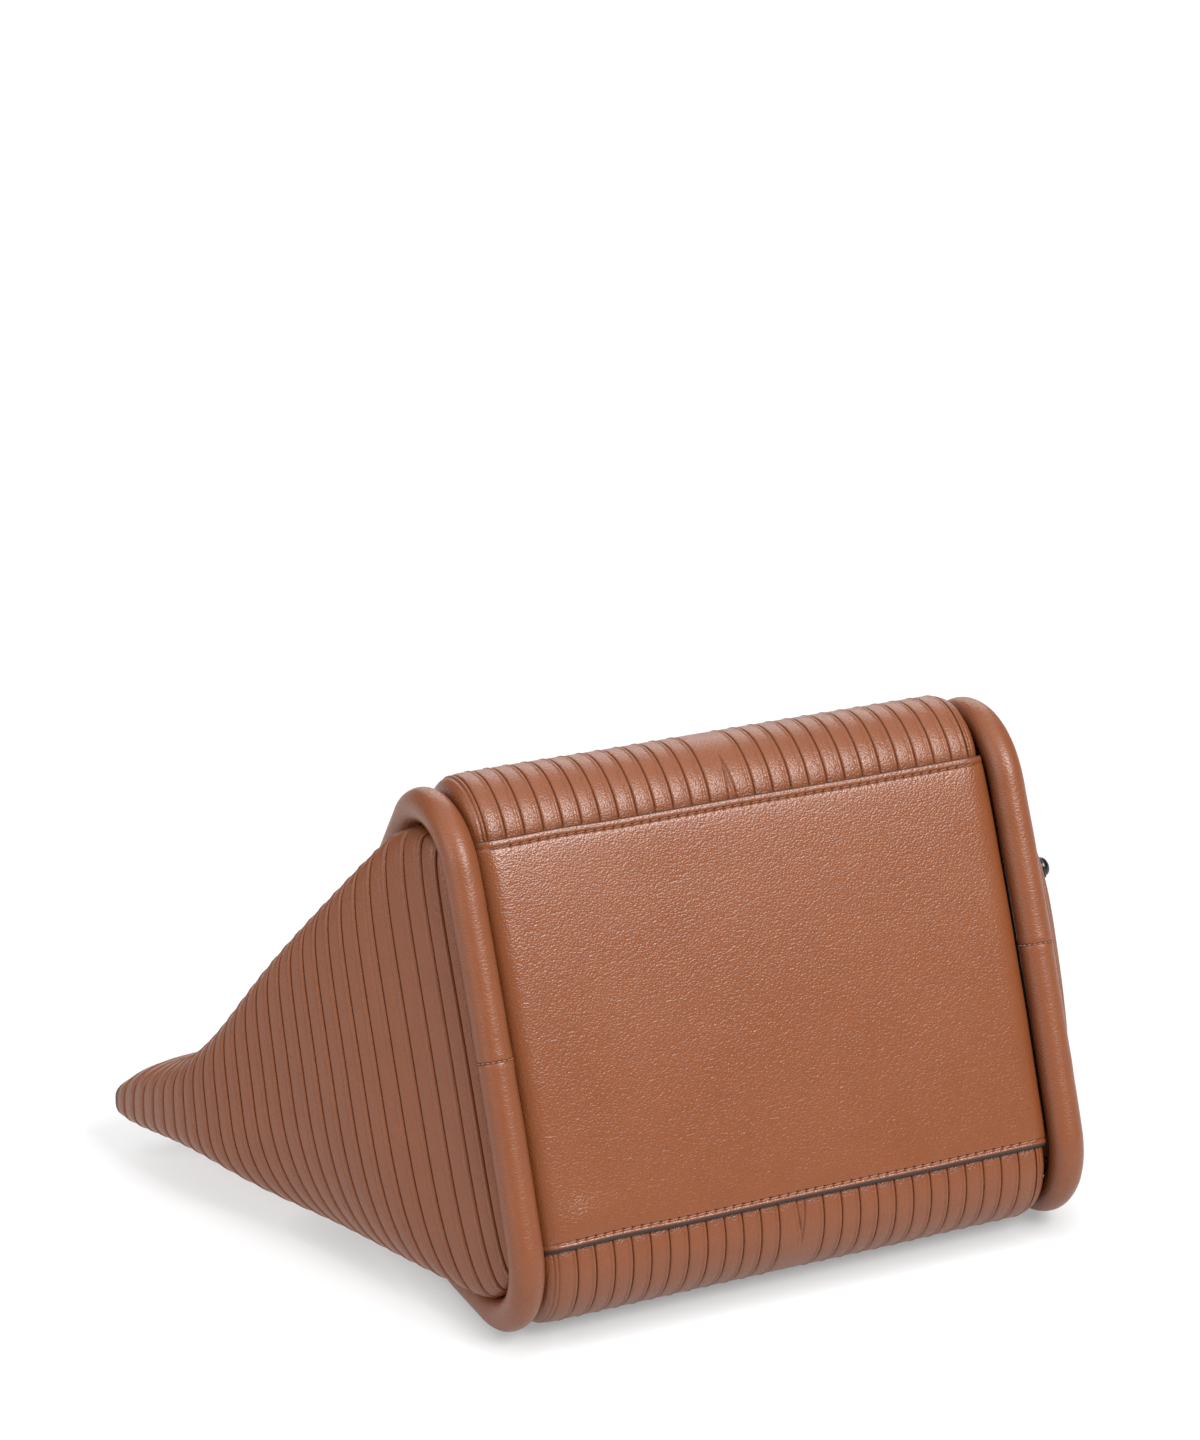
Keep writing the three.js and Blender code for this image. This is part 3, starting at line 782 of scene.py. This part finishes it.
def piping_mesh(name, side, seed):
    rows = piping_rows(joint_places[side])
    to_end = np.minimum(rows, piping_path.total - rows)
    inside_cap = np.clip((PIPING_CAP - to_end) / PIPING_CAP, 0, 1)
    taper = np.maximum(np.sqrt(1 - inside_cap**2), CAP_TIP)
    turn = np.linspace(0, 2 * math.pi, PIPING_SIDES, endpoint=False)[None, :]
    along = rows[:, None]
    from_joint = along - joint_places[side]
    radius = PIPING_RADIUS + ripple(PIPING_UNEVEN, along, np.cos(turn), seed)
    radius = radius + ripple(PIPING_CREASES, along, np.sin(turn), seed + 3)
    radius = radius - JOINT_DEPTH * falloff(from_joint, JOINT_HALF)
    radius = radius + JOINT_SWELL * falloff(np.abs(from_joint) - JOINT_SWELL_AT, JOINT_SWELL_HALF)
    radius = radius * taper[:, None]
    points, outward = piping_path.at(rows)
    x = side * PIPING_X + side * radius * np.sin(turn)
    places = points[:, None, :] + outward[:, None, :] * (radius * np.cos(turn))[..., None]
    surface = settled(x, places)
    count, ring = surface.shape[:2]
    quads = grid_quads(count, ring, ring=True, flip=side < 0)
    caps = [tuple(range(ring)), tuple(range((count - 1) * ring, count * ring))]
    turned = 0 if side > 0 else 1
    caps[turned] = caps[turned][::-1]
    joint = falloff(from_joint, JOINT_DARK_HALF)
    # Painted shade on the side against the panels; the joint is darker too
    painted_seam_shade = SEAM_SHADE * falloff(turn - SEAM_TURN, SEAM_SPREAD)
    none = np.zeros(radius.size)
    marks = {"groove": np.maximum(joint, painted_seam_shade).ravel(), "paint": none, "inside": none}
    return new_mesh(name, surface.reshape(-1, 3), quads, marks, caps)


piping_left = piping_mesh("piping_left_leather", -1, 5)
piping_right = piping_mesh("piping_right_leather", 1, 6)


# Stitches

THREAD_SIDES = 8
THREAD_TAPER = 0.55
BASE_THREAD_RADIUS = 0.34
# Painted shade on the upper row of stitches, which lies under the rolled edge
UPPER_THREAD_SHADE = 0.45
STITCH_POINTS = 9
STITCH_SHORT = 0.28  # how far each end of a stitch stays from the middle of its hole
STITCH_SLANT = 0.16
STITCH_WANDER = 0.05
STITCH_ARCH = 0.42
STITCH_SINK = 0.22
JOINT_THREAD_RADIUS = 0.26
JOINT_STITCHES = 12
JOINT_STITCH_POINTS = 7
JOINT_STITCH_TURN = math.radians(19)
JOINT_STITCH_HALF = 0.33
JOINT_STITCH_SINK = 0.3


def thread_mesh(name, runs, radius):
    """Short threads in one mesh. Each run holds its points, the way up and how much painted shade it gets."""
    around = np.linspace(0, 2 * math.pi, THREAD_SIDES, endpoint=False)
    points = []
    quads = []
    polygons = []
    shades = []
    count = 0
    for run, up, shade in runs:
        ahead = np.gradient(run, axis=0)
        ahead /= np.linalg.norm(ahead, axis=1, keepdims=True)
        across = np.cross(ahead, up)
        across /= np.linalg.norm(across, axis=1, keepdims=True)
        above = np.cross(across, ahead)
        steps = np.linspace(-1, 1, len(run))
        thick = radius * MM * np.sqrt(1 - THREAD_TAPER * steps**4)
        sideways = np.cos(around)[None, :, None] * across[:, None, :]
        upward = np.sin(around)[None, :, None] * above[:, None, :]
        tube = run[:, None, :] + (sideways + upward) * thick[:, None, None]
        size = len(run) * THREAD_SIDES
        points.append(tube.reshape(-1, 3))
        quads.append(grid_quads(len(run), THREAD_SIDES, count, ring=True, flip=True))
        first = tuple(range(count, count + THREAD_SIDES))
        last = tuple(range(count + size - THREAD_SIDES, count + size))
        polygons += [first, last[::-1]]
        shades.append(np.full(size, shade))
        count += size
    marks = {"groove": np.concatenate(shades)}
    return new_mesh(name, np.concatenate(points), np.concatenate(quads), marks, polygons)


def base_stitches():
    runs = []
    steps = np.linspace(-1, 1, STITCH_POINTS)
    up = np.array([0, *base_out])
    for low in (True, False):
        way = 1 if low else -1
        shade = 0 if low else UPPER_THREAD_SHADE
        for i, middle in enumerate(stitch_x):
            x = middle + steps * (STITCH_PITCH / 2 - STITCH_SHORT)
            inset = STITCH_INSET + STITCH_SLANT * steps * way + STITCH_WANDER * math.sin(i * 2.1)
            t = inset if low else BASE_PANEL_DEPTH - inset
            arch = STITCH_ARCH * (1 - steps**4) - STITCH_SINK
            lift = BASE_PANEL_GAP + base_face(x, t) + arch - edge_dip(x)
            points, _ = outline.at(lap_front + t)
            places = points + base_out * lift[:, None] + base_up * base_wave(x)[:, None]
            runs.append((settled(x, places), up, shade))
    return runs


def joint_stitches(side):
    runs = []
    steps = np.linspace(-1, 1, JOINT_STITCH_POINTS)
    points, outward = piping_path.at(np.full(steps.shape, joint_places[side]))
    for i in range(JOINT_STITCHES):
        middle = (i - (JOINT_STITCHES - 1) / 2) * JOINT_STITCH_TURN
        turn = middle + steps * JOINT_STITCH_TURN * JOINT_STITCH_HALF
        radius = PIPING_RADIUS - JOINT_STITCH_SINK * steps**4
        x = side * PIPING_X + side * radius * np.sin(turn)
        places = points + outward * (radius * np.cos(turn))[:, None]
        up = np.array([side * math.sin(middle), *(outward[0] * math.cos(middle))])
        runs.append((settled(x, places), up, 0))
    return runs


base_thread = thread_mesh("base_stitching", base_stitches(), BASE_THREAD_RADIUS)
joint_thread_left = thread_mesh("piping_left_stitching", joint_stitches(-1), JOINT_THREAD_RADIUS)
joint_thread_right = thread_mesh("piping_right_stitching", joint_stitches(1), JOINT_THREAD_RADIUS)


# Stud

STUD_SIDES = 48
STUD_TIP = 0.02
STUD_BEVEL = [(0.35, 0.0), (0.1, 0.12), (0.0, 0.35)]  # in from its rim, and up from its back
STUD_DOME_INSET = 0.75
STUD_GROOVE_WIDE = 0.2
STUD_GROOVE_DEEP = 0.12
SLOPE_STEP = 0.004


def stud_profile():
    """Radii and heights from the middle of the stud's back, round its rim and over its dome."""
    dome_radius = STUD_RADIUS - STUD_DOME_INSET
    profile = [(STUD_TIP, 0.0)]
    profile += [(STUD_RADIUS - inset, rise) for inset, rise in STUD_BEVEL]
    profile += [(STUD_RADIUS - inset, STUD_RIM - rise) for inset, rise in reversed(STUD_BEVEL)]
    profile.append((dome_radius + STUD_GROOVE_WIDE, STUD_RIM - STUD_GROOVE_DEEP))
    profile.append((dome_radius, STUD_RIM))
    for degrees in range(8, 90, 8):
        turn = math.radians(degrees)
        rise = (STUD_HEIGHT - STUD_RIM) * math.sin(turn)
        profile.append((dome_radius * math.cos(turn), STUD_RIM + rise))
    profile.append((STUD_TIP, STUD_HEIGHT))
    return profile


def stud_mesh():
    """The stud, square to the right gusset where it sits."""
    share = np.array([1 - STUD_FROM_MOUTH / GUSSET_HEIGHT])
    angle = np.array([STUD_ANGLE])
    seat = gusset_point(1, share, angle)[0]
    up = gusset_point(1, share + SLOPE_STEP, angle)[0] - gusset_point(1, share - SLOPE_STEP, angle)[0]
    around = gusset_point(1, share, angle + SLOPE_STEP)[0] - gusset_point(1, share, angle - SLOPE_STEP)[0]
    outward = unit(np.cross(up, around))
    side = unit(up - outward * (up @ outward))
    other = np.cross(outward, side)
    spin = np.linspace(0, 2 * math.pi, STUD_SIDES, endpoint=False)
    ring = np.cos(spin)[:, None] * side + np.sin(spin)[:, None] * other
    rows = []
    for radius, height in stud_profile():
        rows.append(seat + outward * (STUD_GAP + height) * MM + ring * radius * MM)
    quads = grid_quads(len(rows), STUD_SIDES, ring=True)
    last = (len(rows) - 1) * STUD_SIDES
    caps = [tuple(range(STUD_SIDES))[::-1], tuple(range(last, last + STUD_SIDES))]
    return new_mesh("side_stud_metal", np.concatenate(rows), quads, {}, caps)


side_stud = stud_mesh()


# Materials


class Nodes:
    """Shorthand for building one material's nodes."""

    def __init__(self, name):
        self.material = bpy.data.materials.new(name)
        self.material.use_nodes = True
        self.tree = self.material.node_tree
        self.tree.nodes.clear()
        self.output = self.add("ShaderNodeOutputMaterial")
        self.shader = self.add("ShaderNodeBsdfPrincipled")
        self.tree.links.new(self.shader.outputs["BSDF"], self.output.inputs["Surface"])

    def feed(self, socket, value):
        """Link an output to a socket, or set the socket to a constant."""
        if hasattr(value, "is_output"):
            self.tree.links.new(value, socket)
        else:
            socket.default_value = value

    def shade(self, **inputs):
        """Feed the shader's sockets, named with _ for a space."""
        for key, value in inputs.items():
            self.feed(self.shader.inputs[key.replace("_", " ")], value)

    def add(self, kind, inputs=None, **settings):
        node = self.tree.nodes.new(kind)
        for key, value in settings.items():
            setattr(node, key, value)
        for key, value in (inputs or {}).items():
            self.feed(node.inputs[key], value)
        return node

    def math(self, operation, a, b):
        return self.add("ShaderNodeMath", {0: a, 1: b}, operation=operation).outputs[0]

    def vector(self, operation, a, inputs):
        node = self.add("ShaderNodeVectorMath", {0: a, **inputs}, operation=operation)
        return node.outputs["Vector"]

    def place(self):
        return self.add("ShaderNodeTexCoord").outputs["Object"]

    def noise(self, place, scale, detail):
        return self.add("ShaderNodeTexNoise", {"Vector": place, "Scale": scale, "Detail": detail})

    def mark(self, name):
        return self.add("ShaderNodeAttribute", attribute_name=name).outputs["Fac"]

    def blend(self, factor, a, b):
        node = self.add("ShaderNodeMix", data_type="RGBA")
        for key, value in (("Factor", factor), ("A", a), ("B", b)):
            self.feed(next(s for s in node.inputs if s.name == key and s.enabled), value)
        return next(s for s in node.outputs if s.enabled)

    def spread(self, value, span, to):
        """Carry a value from one span to another."""
        inputs = {"Value": value, "From Min": span[0], "From Max": span[1], "To Min": to[0], "To Max": to[1]}
        return self.add("ShaderNodeMapRange", inputs).outputs["Result"]


LEATHER_TONE = (0.192, 0.0545, 0.0165, 1)
LEATHER_LIGHT = (0.212, 0.0625, 0.0200, 1)
LEATHER_DEEP = (0.147, 0.0385, 0.0112, 1)
# Colour of the painted shade in grooves, needle holes, seams and beside the pipings
PAINTED_SHADE_TONE = (0.060, 0.017, 0.006, 1)
PAINT_TONE = (0.030, 0.017, 0.014, 1)
FLESH_TONE = (0.200, 0.090, 0.048, 1)
THREAD_DEEP = (0.24, 0.085, 0.04, 1)
THREAD_LIGHT = (0.33, 0.135, 0.075, 1)
METAL_DEEP = (0.035, 0.034, 0.036, 1)
METAL_LIGHT = (0.075, 0.072, 0.07, 1)
# Leather grain: scales are in cells to a metre, reach and depth in metres
GRAIN_SCALE = 1350.0
GRAIN_STRENGTH = 0.5
GRAIN_DEPTH = 0.00023
FINE_SCALE = 3600.0
FINE_SHARE = 0.12
WARP_SCALE = 800.0
WARP_REACH = 0.0005
BROAD_SCALE = 22.0
CLOUD_SCALE = 90.0


def leather(name, stretch=(1, 1, 1), grain=1.0, roughness=0.26):
    """Satin leather with a fine pebble grain. stretch draws the grain out along an axis."""
    n = Nodes(name)
    place = n.place()
    scaled = n.add("ShaderNodeMapping", {"Vector": place, "Scale": stretch}).outputs["Vector"]
    warp = n.noise(scaled, WARP_SCALE, 2.0).outputs["Color"]
    centred = n.vector("SUBTRACT", warp, {1: (0.5, 0.5, 0.5)})
    bent = n.vector("ADD", scaled, {1: n.vector("SCALE", centred, {"Scale": WARP_REACH})})
    cells = {"Vector": bent, "Scale": GRAIN_SCALE, "Smoothness": 0.4}
    pebble = n.add("ShaderNodeTexVoronoi", cells, feature="SMOOTH_F1").outputs["Distance"]
    fine = n.noise(scaled, FINE_SCALE, 2.0).outputs["Fac"]
    broad = n.noise(place, BROAD_SCALE, 4.0).outputs["Fac"]
    cloud = n.noise(place, CLOUD_SCALE, 3.0).outputs["Fac"]
    groove = n.mark("groove")
    paint = n.mark("paint")
    inside = n.mark("inside")

    tone = n.blend(n.spread(broad, span=(0.3, 0.7), to=(0, 0.6)), LEATHER_TONE, LEATHER_LIGHT)
    tone = n.blend(n.spread(cloud, span=(0.35, 0.75), to=(0, 0.25)), tone, LEATHER_DEEP)
    tone = n.blend(n.spread(pebble, span=(0.25, 0.75), to=(0, 0.28)), tone, LEATHER_DEEP)
    # Painted shade where the groove mark is set: grooves, needle holes, stitch lines and the seams beside the
    # pipings
    tone = n.blend(n.spread(groove, span=(0.05, 1.0), to=(0, 0.9)), tone, PAINTED_SHADE_TONE)
    tone = n.blend(inside, tone, FLESH_TONE)
    tone = n.blend(paint, tone, PAINT_TONE)

    rough = n.spread(pebble, span=(0.15, 0.65), to=(roughness - 0.05, roughness + 0.09))
    rough = n.math("ADD", rough, n.spread(broad, span=(0.3, 0.7), to=(-0.015, 0.015)))
    rough = n.math("ADD", rough, n.math("MULTIPLY", inside, 0.3))
    rough = n.math("ADD", rough, n.math("MULTIPLY", paint, 0.4))

    dome = n.math("MULTIPLY", pebble, pebble)
    height = n.math("SUBTRACT", n.math("MULTIPLY", fine, FINE_SHARE), dome)
    height = n.math("MULTIPLY", height, n.math("SUBTRACT", 1.0, paint))
    relief = {"Strength": GRAIN_STRENGTH * grain, "Distance": GRAIN_DEPTH, "Height": height}
    bump = n.add("ShaderNodeBump", relief).outputs["Normal"]
    n.shade(Base_Color=tone, Roughness=rough, Normal=bump)
    return n.material


def thread(name):
    """Twisted thread, with painted shade where it lies deep in its seam."""
    n = Nodes(name)
    strands = {"Vector": n.place(), "Scale": 700.0, "Distortion": 1.5}
    twist = n.add("ShaderNodeTexWave", strands, bands_direction="DIAGONAL").outputs["Fac"]
    tone = n.blend(n.mark("groove"), n.blend(twist, THREAD_DEEP, THREAD_LIGHT), PAINTED_SHADE_TONE)
    bump = n.add("ShaderNodeBump", {"Strength": 0.5, "Distance": 0.0001, "Height": twist}).outputs["Normal"]
    n.shade(Base_Color=tone, Normal=bump, Roughness=0.55)
    return n.material


def gunmetal(name):
    """Dark polished metal with faint scuffs."""
    n = Nodes(name)
    scuff = n.noise(n.place(), 900.0, 4.0).outputs["Fac"]
    rough = n.spread(scuff, span=(0.3, 0.7), to=(0.2, 0.36))
    n.shade(Base_Color=n.blend(scuff, METAL_DEEP, METAL_LIGHT), Roughness=rough, Metallic=1.0)
    return n.material


smooth_leather = leather("leather_smooth", stretch=(0.75, 1, 1))
ribbed_leather = leather("leather_ribbed", grain=1.32, roughness=0.31)
piping_leather = leather("leather_piping", stretch=(0.5, 1, 1), grain=1.08, roughness=0.36)
sewing_thread = thread("sewing_thread")
stud_metal = gunmetal("gunmetal")


def dress(piece, material, nodes=()):
    piece.data.materials.append(material)
    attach(piece, "root")
    if nodes:
        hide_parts(*nodes)


dress(base_panel, smooth_leather, ["base_panel"])
dress(front_panel, ribbed_leather, ["front_panel"])
dress(back_panel, ribbed_leather, ["back_panel"])
dress(gusset_left, ribbed_leather, ["gusset_left"])
dress(gusset_right, ribbed_leather, ["gusset_right"])
dress(piping_left, piping_leather, ["piping_left"])
dress(piping_right, piping_leather, ["piping_right"])
dress(side_stud, stud_metal, ["side_stud"])
dress(base_thread, sewing_thread)
dress(joint_thread_left, sewing_thread)
dress(joint_thread_right, sewing_thread)


# Floor, light and camera, in metres

FLOOR_HALF = 6.0
FLOOR_DROP = 0.0006
FLOOR_TONE = (0.30, 0.30, 0.30, 1)
FLOOR_GLOW = (1, 1, 1, 1)
FLOOR_GLOW_STRENGTH = 0.62
# Painted contact shadow: close under the bag the floor is darker
CONTACT_REACH = 0.014
CONTACT_SHADOW_TONE = (0.22, 0.22, 0.22, 1)
CONTACT_SHADOW_GLOW = (0.5, 0.5, 0.5, 1)
LIGHT_DISTANCE = 6.0
LIGHT_AIM = np.array([0, 0, 0.1])
STEEP = 0.95
WORLD_STRENGTH = 0.24
CAMERA_AZIMUTH = math.radians(-25.2)
CAMERA_ELEVATION = math.radians(24)
CAMERA_ROLL = math.radians(0.4)
CAMERA_EYE = (-0.95138, -1.94057, 1.16764)
CAMERA_LENS = 148.06


def floor_mesh():
    corners = [(-1, -1), (1, -1), (1, 1), (-1, 1)]
    points = [(x * FLOOR_HALF, y * FLOOR_HALF, -FLOOR_DROP) for x, y in corners]
    mesh = bpy.data.meshes.new("floor")
    mesh.from_pydata(points, [], [(0, 1, 2, 3)])
    floor = bpy.data.objects.new("floor", mesh)
    bpy.context.scene.collection.objects.link(floor)
    n = Nodes("floor_white")
    # Painted contact shadow from ambient occlusion, close under the bag
    open_sky = n.add("ShaderNodeAmbientOcclusion", {"Distance": CONTACT_REACH}, samples=8).outputs["AO"]
    n.shade(Base_Color=n.blend(open_sky, CONTACT_SHADOW_TONE, FLOOR_TONE), Roughness=0.9, Specular_IOR_Level=0.1)
    n.shade(Emission_Color=n.blend(open_sky, CONTACT_SHADOW_GLOW, FLOOR_GLOW), Emission_Strength=FLOOR_GLOW_STRENGTH)
    mesh.materials.append(n.material)
    return floor


floor_mesh()


def direction_to(azimuth, elevation):
    """The direction from the bag at these angles. Azimuth 0 is in front of the base."""
    level = math.cos(elevation)
    return np.array([math.sin(azimuth) * level, -math.cos(azimuth) * level, math.sin(elevation)])


def stand(piece, right, up, back, place):
    """Put a light or camera at a place, looking the way opposite to back."""
    matrix = Matrix.Identity(4)
    for i in range(3):
        matrix[i] = (right[i], up[i], back[i], place[i])
    piece.matrix_world = matrix
    bpy.context.scene.collection.objects.link(piece)


def softbox(name, azimuth, elevation, size, power):
    """A square softbox, far enough away to light the whole floor evenly. Angles are in degrees."""
    data = bpy.data.lights.new(name, "AREA")
    data.shape = "RECTANGLE"
    data.size = size
    data.size_y = size
    data.energy = power
    back = direction_to(math.radians(azimuth), math.radians(elevation))
    upright = [0.0, 1.0, 0.0] if abs(back[2]) > STEEP else [0.0, 0.0, 1.0]
    right = unit(np.cross(upright, back))
    place = LIGHT_AIM + LIGHT_DISTANCE * back
    stand(bpy.data.objects.new(name, data), right, np.cross(back, right), back, place)


softbox("key_softbox", 19, 45, 2.4, 418)
softbox("left_fill", -80, 30, 4.0, 160)
softbox("top_fill", 0, 88, 8.0, 230)
softbox("back_rim", 155, 26, 4.0, 120)

world = bpy.data.worlds.new("studio")
world.use_nodes = True
world.node_tree.nodes["Background"].inputs["Color"].default_value = (1, 1, 1, 1)
world.node_tree.nodes["Background"].inputs["Strength"].default_value = WORLD_STRENGTH
bpy.context.scene.world = world
bpy.context.scene.view_settings.view_transform = "Standard"


def photo_camera():
    back = direction_to(CAMERA_AZIMUTH, CAMERA_ELEVATION)
    level = unit(np.cross([0, 0, 1.0], back))
    upright = np.cross(back, level)
    right = level * math.cos(CAMERA_ROLL) + upright * math.sin(CAMERA_ROLL)
    up = upright * math.cos(CAMERA_ROLL) - level * math.sin(CAMERA_ROLL)
    data = bpy.data.cameras.new("photo_camera")
    data.sensor_width = 36
    data.lens = CAMERA_LENS
    data.clip_start = 0.05
    data.clip_end = 50
    camera = bpy.data.objects.new("photo_camera", data)
    stand(camera, right, up, back, CAMERA_EYE)
    bpy.context.scene.camera = camera


photo_camera()
